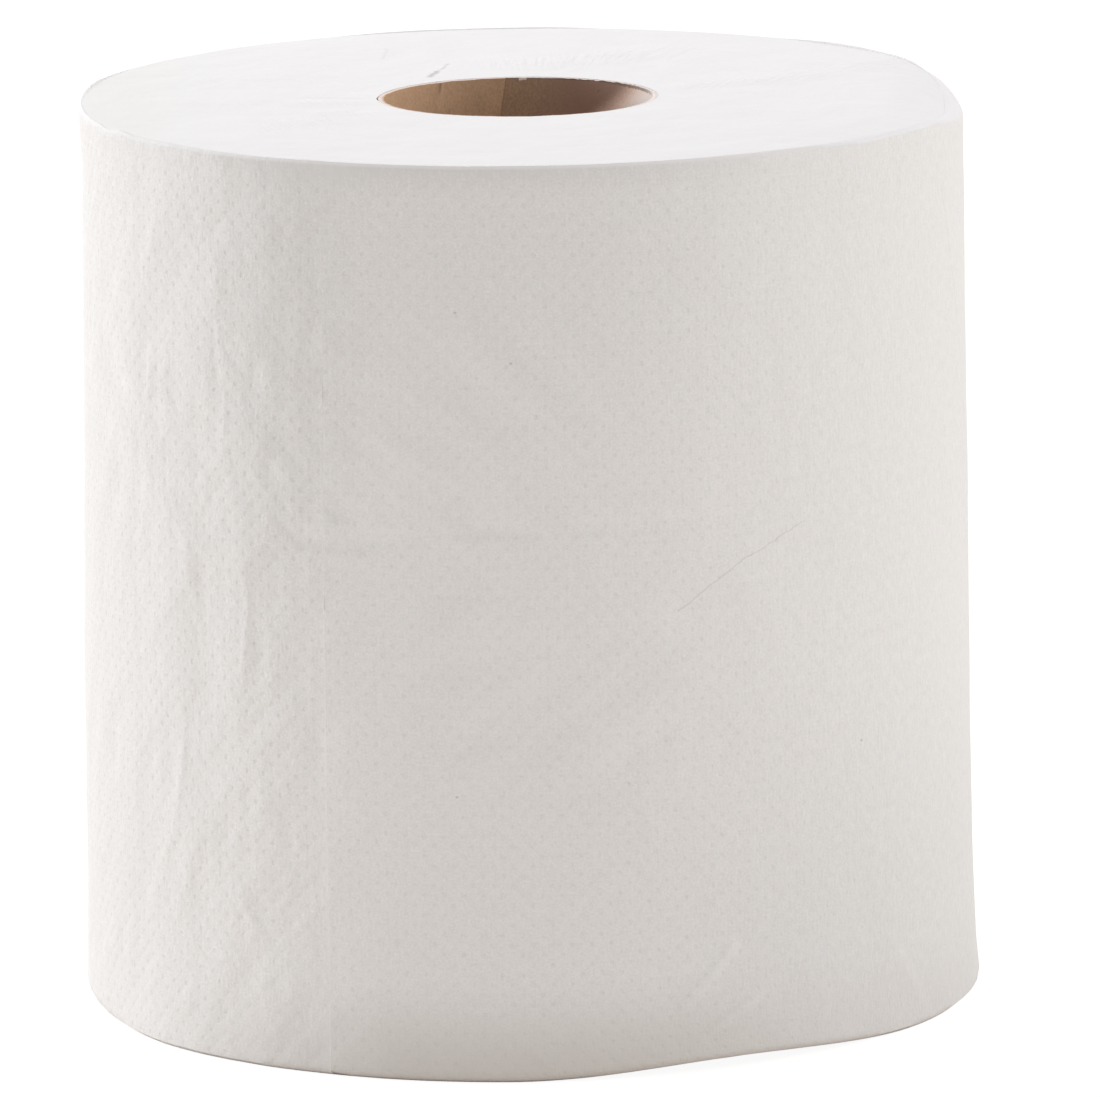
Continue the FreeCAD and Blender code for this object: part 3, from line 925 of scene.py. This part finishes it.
def slide_out(places, distance):
    """Moves corners away from the axis by the given distances."""
    places[:, :2] *= (1 + distance / radii(places))[:, None]


def turn_growth(azimuth):
    """How much wider the outer turn has grown by each direction, in millimetres."""
    travel = (np.radians(azimuth) - TAIL_AZIMUTH) % TURN
    second_half = np.clip(travel - math.pi, 0, None)
    left_over = (TURN - travel) * BASE_RADIUS / MM
    return TAIL_STEP / MM * (1 - np.cos(second_half)) / 2 - 0.33 * hump(left_over, 0, PRESSED_REACH)


def tail_drift(up):
    """How far the tail has drifted round the roll, in millimetres."""
    return 1.1 * np.clip(1 - up / 60, 0, 1) ** 2 + 0.6 * np.clip((up - 130) / 60, 0, 1)


def shape_outer_turn(mesh, height):
    """Gives the outer turn its folds, wavy edges and soft corners."""
    places = mesh_places(mesh)
    azimuth = azimuths(places)
    up = places[:, 2].copy()
    along, _, deep = mesh_web(mesh)
    calm = np.clip((height - up) / 14, 0.15, 1) * np.clip(up / 10 + 0.3, 0.3, 1)
    out = web_slack(azimuth, up) * calm
    out -= tail_press(along.max() - along, up, deep)
    out -= 0.1 * np.clip(-along, 0, 5) + 0.8 * deep * np.clip((height - up) / 25, 0, 1)
    out -= corner_inset(height - up, rim_round(azimuth))
    out -= rim_lean(azimuth) * np.clip((up - height + 22) / 22, 0, 1)
    out -= corner_inset(up, foot_round(azimuth))
    out += foot_spread(azimuth) * np.clip(1 - up / 34, 0, 1) ** 2
    slide_out(places, out)
    radius = radii(places)
    direction = np.radians(azimuth) + tail_drift(up) * hump(azimuth, math.degrees(TAIL_AZIMUTH), 20) / radius
    places[:, 0] = radius * np.cos(direction)
    places[:, 1] = radius * np.sin(direction)
    near_top = np.clip(1 - (height - up) / 12, 0, 1) ** 2
    places[:, 2] += (rim_lift(azimuth) - shoulder(azimuth)) * near_top
    places[:, 2] += foot_lift(azimuth) * np.clip(1 - up / 12, 0, 1) ** 2
    move_corners(mesh, places)


def mouth_pull(places, height):
    """Draws the bore's mouth into the slightly flattened oval that handling leaves."""
    radius = radii(places)
    near_bore = np.clip((75 - radius) / 44, 0, 1) ** 2
    near_top = np.clip(1 - (height - places[:, 2]) / 60, 0, 1)
    pull = near_bore * near_top
    places[:, 1] *= 1 - 0.08 * pull
    places[:, 1] -= 3.0 * pull
    places[:, 0] *= 1 + 0.008 * pull
    places[:, 0] -= 0.6 * pull


def start_gap(places):
    """Opens the pointed gap beside the core where the web starts."""
    azimuth = np.radians(azimuths(places))
    radius = radii(places)
    off = np.abs(np.angle(np.exp(1j * (azimuth - math.pi)))) * 30
    push = 0.3 * np.clip(1 - off / 4.5, 0, 1) * np.clip(1 - (radius - 30) / 12, 0, 1)
    slide_out(places, push)


def shape_inner_turns(mesh, height):
    """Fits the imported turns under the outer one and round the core."""
    places = mesh_places(mesh)
    azimuth = azimuths(places)
    up = places[:, 2].copy()
    _, _, deep = mesh_web(mesh)
    outer = np.clip((0.25 - deep) / 0.25, 0, 1)
    at_top = up > height - 0.01
    corner = rim_round(azimuth)
    rim = web_slack(azimuth, np.full(up.shape, height)) * 0.15 + turn_growth(azimuth) - rim_lean(azimuth)
    rim -= corner + 0.12
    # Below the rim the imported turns' outside draws in, out of sight under the outer turn
    hidden = np.where(up < 0.01, -8.0, -4.5)
    slide_out(places, outer * np.where(at_top, rim, hidden))
    start_gap(places)
    mouth_pull(places, height)
    radius = radii(places)
    swell = 0.25 * soft_noise(places[:, 0] + 200, places[:, 1] + 200, 34, 34, 31)
    swell += 0.12 * soft_noise(azimuth, radius, 9, 9, 32)
    swell *= np.clip((radius - 31) / 6, 0, 1) * np.clip((96 - radius) / 10, 0, 1)
    swell -= shoulder(azimuth) * np.clip((radius - 78) / (17.5 - corner), 0, 1) ** 2
    front = np.clip(-3 * np.sin(np.radians(azimuth)), 0, 1)
    swell += (rim_lift(azimuth) * front - 0.05 - 0.3 * hump(azimuth, 33, 22)) * (deep < 0.005)
    places[:, 2] += np.where(at_top, swell, 0)
    places[:, 2] = np.maximum(places[:, 2], FOOT_CLEARANCE)
    move_corners(mesh, places)


def shape_core(mesh, height):
    """Gives the core its squashed mouth, its crease and its ragged cut rim."""
    places = mesh_places(mesh)
    along, up, _ = mesh_web(mesh)
    azimuth = azimuths(places)
    crease = hump(along, CORE_CREASE, 1.6) * np.clip(1 - (height - up) / 12, 0, 1)
    slide_out(places, -0.3 * crease)
    near_top = np.clip(1 - (height - up) / 4, 0, 1)
    torn = 0.25 + hump(azimuth, 45, 40)
    ragged = 0.10 * torn * soft_noise(azimuth, azimuth * 0, 1.3, 1, 41)
    ragged += 0.06 * soft_noise(azimuth, azimuth * 0, 7, 1, 42)
    places[:, 2] += near_top * (ragged - 0.1)
    places[:, 2] = np.maximum(places[:, 2], FOOT_CLEARANCE)
    mouth_pull(places, height)
    move_corners(mesh, places)


def settle(piece, node):
    """Smooths a finished piece, keeps its sharp edges and ties it to the frame."""
    mesh = piece.data
    mesh.shade_smooth()
    mesh.set_sharp_from_angle(angle=math.radians(50))
    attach(piece, "root")
    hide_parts(node)


# Operators


class ROLL_OT_outer_turn(bpy.types.Operator):
    """Winds the loose outer turn of the web, down to its tail"""

    bl_idname = "roll.outer_turn"
    bl_label = "Outer Turn"

    def execute(self, context):
        web = context.scene.roll_web
        sizes = {
            "Base Radius": web.base_radius,
            "Top Radius": web.top_radius,
            "Height": web.height,
            "Thickness": web.thickness,
            "Growth": TAIL_STEP,
            "Start Angle": web.tail_azimuth,
            "Lap Angle": web.lap / web.base_radius,
            "Column Crowding": 0.42,
            "Row Crowding": 0.5,
            "Columns": 800,
            "Outside Rows": 114,
            "Top Rows": 2,
            "Inside Rows": 6,
            "Bottom Rows": 1,
            "Material": embossed_paper(web),
        }
        piece = wind_part("outer_turn", sizes)
        shape_outer_turn(piece.data, web.height / MM)
        settle(piece, "wound_paper")
        return {"FINISHED"}


class ROLL_OT_inner_turns(bpy.types.Operator):
    """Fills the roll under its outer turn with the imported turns"""

    bl_idname = "roll.inner_turns"
    bl_label = "Inner Turns"

    def execute(self, context):
        web = context.scene.roll_web
        core = context.scene.roll_core
        sizes = {
            "Base Radius": web.top_radius,
            "Top Radius": web.top_radius,
            "Height": web.height,
            "Thickness": web.top_radius - core.outside_radius - 0.05 * MM,
            "Start Angle": web.tail_azimuth,
            "Columns": 480,
            "Outside Rows": 8,
            "Top Rows": 74,
            "Inside Rows": 24,
            "Bottom Rows": 40,
            "Closed": True,
            "Material": packed_edges(web),
        }
        piece = wind_part("inner_turns", sizes)
        shape_inner_turns(piece.data, web.height / MM)
        settle(piece, "wound_paper")
        return {"FINISHED"}


class ROLL_OT_core(bpy.types.Operator):
    """Rolls the cardboard core with the stepped seam of its inner ply"""

    bl_idname = "roll.core"
    bl_label = "Core"

    def execute(self, context):
        web = context.scene.roll_web
        core = context.scene.roll_core
        sizes = {
            "Base Radius": core.outside_radius,
            "Top Radius": core.outside_radius,
            "Height": web.height,
            "Thickness": core.outside_radius - core.bore_radius + core.ply_step,
            "Thickness Change": -core.ply_step,
            "Start Angle": core.seam_azimuth,
            "Lean": -5.6,
            "Row Crowding": 0.4,
            "Columns": 420,
            "Outside Rows": 10,
            "Top Rows": 3,
            "Inside Rows": 90,
            "Bottom Rows": 3,
            "Material": core_board(core),
        }
        piece = wind_part("core_board_tube", sizes)
        shape_core(piece.data, web.height / MM)
        settle(piece, "core_tube")
        return {"FINISHED"}


def add_lamp(name, power, tint, width, height, azimuth, elevation, distance, target):
    """Adds a soft rectangular lamp that faces a point on the axis, by its distance and direction from it."""
    data = bpy.data.lights.new(name, "AREA")
    data.shape = "RECTANGLE"
    data.size = width
    data.size_y = height
    data.energy = power
    data.color = tint
    lamp = bpy.data.objects.new(name, data)
    bpy.context.scene.collection.objects.link(lamp)
    turn = Matrix.Rotation(math.radians(azimuth), 4, "Z")
    tilt = Matrix.Rotation(math.radians(90 - elevation), 4, "Y")
    reach = Matrix.Translation((0, 0, distance))
    lamp.matrix_world = Matrix.Translation((0, 0, target)) @ turn @ tilt @ reach


def seen_directly(recipe):
    """1 where a surface is seen itself, in a mirror or through glass, and 0 where it only sheds light."""
    path = recipe.node("ShaderNodeLightPath")
    rays = {output.name: Wire(recipe, output) for output in path.socket.node.outputs}
    seen = recipe.larger(rays["Is Camera Ray"], rays["Is Glossy Ray"])
    return recipe.larger(seen, rays["Is Transmission Ray"])


def floor_surface(settings):
    """A pale matte floor that looks white straight on and still takes the roll's shadow."""
    material, recipe = new_material("studio_floor")
    seen = seen_directly(recipe)
    matte = recipe.node("ShaderNodeBsdfDiffuse", None, {"Color": colour(settings.floor_colour)})
    glow = recipe.node("ShaderNodeEmission", None, {"Color": (1, 1, 1, 1), "Strength": 1.16})
    surface = recipe.node("ShaderNodeMixShader", None, {0: seen * 0.8, 1: matte, 2: glow})
    recipe.node("ShaderNodeOutputMaterial", None, {"Surface": surface})
    return material


def light_world(settings):
    """Even light from all round, seen as plain white."""
    world = bpy.data.worlds.new("studio_world")
    bpy.context.scene.world = world
    world.use_nodes = True
    world.node_tree.nodes.clear()
    recipe = Recipe(world.node_tree)
    seen = seen_directly(recipe)
    tint = recipe.mix(seen, colour(settings.sky_colour), (1, 1, 1, 1))
    backdrop = recipe.node("ShaderNodeBackground", None, {"Color": tint, "Strength": 1.0})
    recipe.node("ShaderNodeOutputWorld", None, {"Surface": backdrop})


def add_camera():
    """Puts a long lens in front of the roll, a little above it."""
    data = bpy.data.cameras.new("camera")
    data.lens = 363.9
    data.sensor_width = 36
    data.clip_end = 50
    camera = bpy.data.objects.new("camera", data)
    bpy.context.scene.collection.objects.link(camera)
    turn = Matrix.Rotation(-0.001, 4, "Z")
    pitch = Matrix.Rotation(math.pi / 2 - 0.197, 4, "X")
    roll = Matrix.Rotation(-0.0128, 4, "Z")
    camera.matrix_world = Matrix.Translation((0.0027, -2.3757, 0.5696)) @ turn @ pitch @ roll
    bpy.context.scene.camera = camera


class ROLL_OT_studio(bpy.types.Operator):
    """Sets the floor, the lights and the camera"""

    bl_idname = "roll.studio"
    bl_label = "Studio"

    def execute(self, context):
        studio = context.scene.roll_studio
        reach = 6.0
        corners = [(-reach, -reach), (reach, -reach), (reach, reach), (-reach, reach)]
        mesh = bpy.data.meshes.new("studio_floor")
        mesh.from_pydata([(x, y, 0.0) for x, y in corners], [], [(0, 1, 2, 3)])
        mesh.materials.append(floor_surface(studio))
        floor = bpy.data.objects.new("studio_floor", mesh)
        context.scene.collection.objects.link(floor)
        light_world(studio)
        cool = (0.97, 0.985, 1.0)
        add_lamp("lamp_left", studio.left_power, (0.915, 0.955, 1.0), 0.5, 0.6, 161, 13, 1.6, 0.15)
        add_lamp("lamp_right", studio.right_power, cool, 0.7, 0.9, 2, 21, 1.6, 0.12)
        add_lamp("lamp_top", studio.top_power, cool, 0.6, 0.6, 122, 55, 1.5, 0.19)
        add_camera()
        context.scene.view_settings.view_transform = "Standard"
        return {"FINISHED"}


class ROLL_PT_panel(bpy.types.Panel):
    """Lists the roll's settings and the operators that build it"""

    bl_idname = "ROLL_PT_panel"
    bl_label = "Wiper Roll"
    bl_space_type = "VIEW_3D"
    bl_region_type = "UI"
    bl_category = "Roll"

    def draw(self, context):
        scene = context.scene
        for settings in (scene.roll_web, scene.roll_core, scene.roll_studio):
            box = self.layout.box()
            for name in settings.__annotations__:
                box.prop(settings, name)
        for operator in OPERATORS:
            self.layout.operator(operator.bl_idname)


SETTINGS = {
    "roll_web": WebSettings,
    "roll_core": CoreSettings,
    "roll_studio": StudioSettings,
}
OPERATORS = (ROLL_OT_studio, ROLL_OT_core, ROLL_OT_inner_turns, ROLL_OT_outer_turn)


def register():
    for name, kind in SETTINGS.items():
        bpy.utils.register_class(kind)
        setattr(bpy.types.Scene, name, bpy.props.PointerProperty(type=kind))
    for kind in (*OPERATORS, ROLL_PT_panel):
        bpy.utils.register_class(kind)


def unregister():
    for kind in (ROLL_PT_panel, *reversed(OPERATORS)):
        bpy.utils.unregister_class(kind)
    for name, kind in SETTINGS.items():
        delattr(bpy.types.Scene, name)
        bpy.utils.unregister_class(kind)


def main():
    """Builds the roll and its studio."""
    register()
    bpy.ops.roll.studio()
    bpy.ops.roll.core()
    bpy.ops.roll.inner_turns()
    bpy.ops.roll.outer_turn()


if __name__ == "__main__":
    main()
